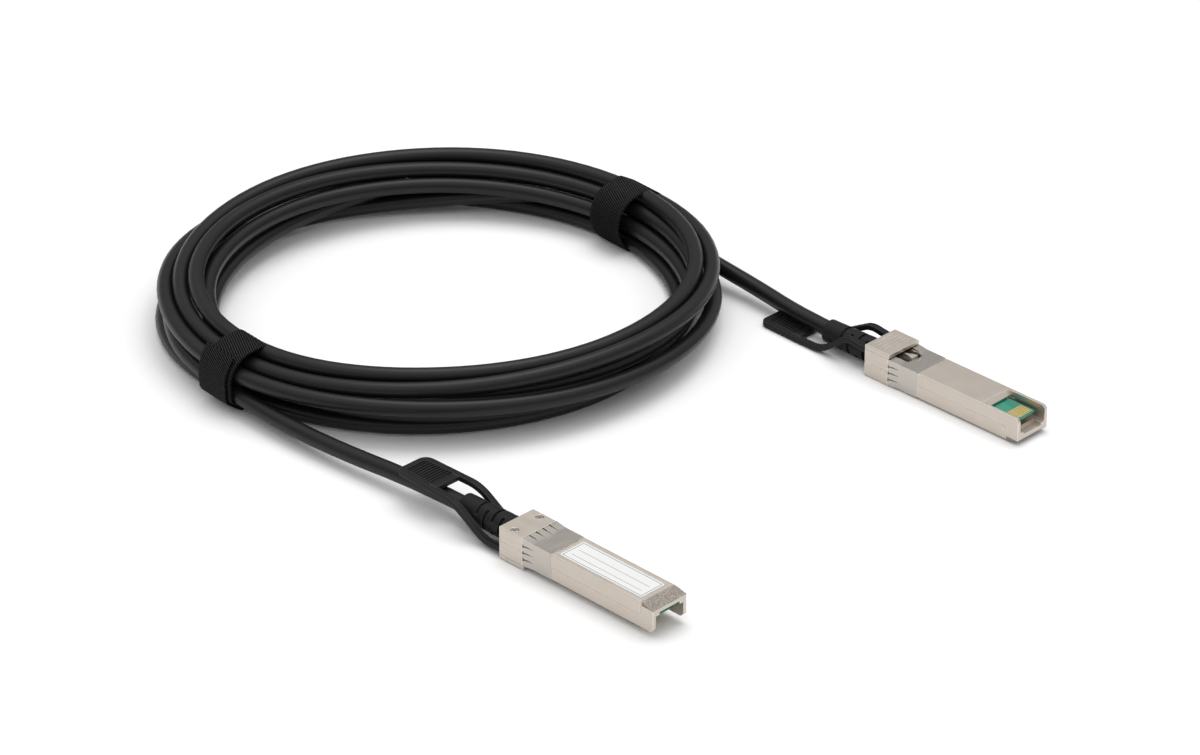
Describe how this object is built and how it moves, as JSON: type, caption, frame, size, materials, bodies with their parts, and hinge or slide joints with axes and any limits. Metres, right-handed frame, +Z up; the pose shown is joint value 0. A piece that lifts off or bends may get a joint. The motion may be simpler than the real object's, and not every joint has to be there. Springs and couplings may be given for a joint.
{
  "type": "direct attach copper cable",
  "caption": "Coiled black copper cable tied with two straps, with a flat metal pluggable connector, boot and pull tab on each end.",
  "frame": {"origin": "on the table under the middle of the box round the two connectors and their tabs", "axes": "+X is the way both connectors push into a port, +Z is up"},
  "size_m": [0.2655, 0.1768, 0.0223],
  "materials": {
    "housing_metal": "satin nickel-plated zinc die casting",
    "collar_steel": "plated spring sheet",
    "circuit_board": "green solder mask",
    "gold_plating": "gold-plated contact fingers",
    "chip_plastic": "moulded black package",
    "pair_foil": "foil shield over two insulated wires",
    "ferrule_metal": "crimped sleeve",
    "boot_rubber": "moulded black, satin",
    "slider_metal": "blackened sheet steel",
    "spring_steel": "drawn wire",
    "tab_plastic": "flexible moulded black, satin",
    "screw_steel": "nickel-plated cross head",
    "label_paper": "white self-adhesive label, plain",
    "cable_jacket": "smooth black jacket, satin",
    "strap_fabric": "woven black hook-and-loop"
  },
  "bodies": {
    "cable": {"base_housing_a": "housing_metal", "cover_housing_a": "housing_metal", "latch_cap_a": "housing_metal", "emi_collar_a": "collar_steel", "circuit_card_a": "circuit_board", "contact_pads_a": "gold_plating", "memory_chip_a": "chip_plastic", "transmit_pair_a": "pair_foil", "receive_pair_a": "pair_foil", "crimp_ferrule_a": "ferrule_metal", "strain_relief_a": "boot_rubber", "return_spring_a": "spring_steel", "housing_screws_a": "screw_steel", "label_a": "label_paper", "base_housing_b": "housing_metal", "cover_housing_b": "housing_metal", "latch_cap_b": "housing_metal", "emi_collar_b": "collar_steel", "circuit_card_b": "circuit_board", "contact_pads_b": "gold_plating", "memory_chip_b": "chip_plastic", "transmit_pair_b": "pair_foil", "receive_pair_b": "pair_foil", "crimp_ferrule_b": "ferrule_metal", "strain_relief_b": "boot_rubber", "return_spring_b": "spring_steel", "housing_screws_b": "screw_steel", "label_b": "label_paper", "cable_lead_a": "cable_jacket", "cable_lead_b": "cable_jacket", "cable_coil": "cable_jacket", "strap_a": "strap_fabric", "strap_b": "strap_fabric"},
    "release_a": {"release_slider_a": "slider_metal", "pull_tab_a": "tab_plastic"},
    "release_b": {"release_slider_b": "slider_metal", "pull_tab_b": "tab_plastic"}
  },
  "joints": [
    {"name": "release_pull_a", "type": "slide", "parent": "cable", "child": "release_a", "axis": [-1, 0, 0], "range_m": [0, 0.0025], "stiffness_N_per_m": 800, "springref_m": -0.0005, "deforming": ["return_spring_a"]},
    {"name": "release_pull_b", "type": "slide", "parent": "cable", "child": "release_b", "axis": [-1, 0, 0], "range_m": [0, 0.0025], "stiffness_N_per_m": 800, "springref_m": -0.0005, "deforming": ["return_spring_b"]}
  ]
}
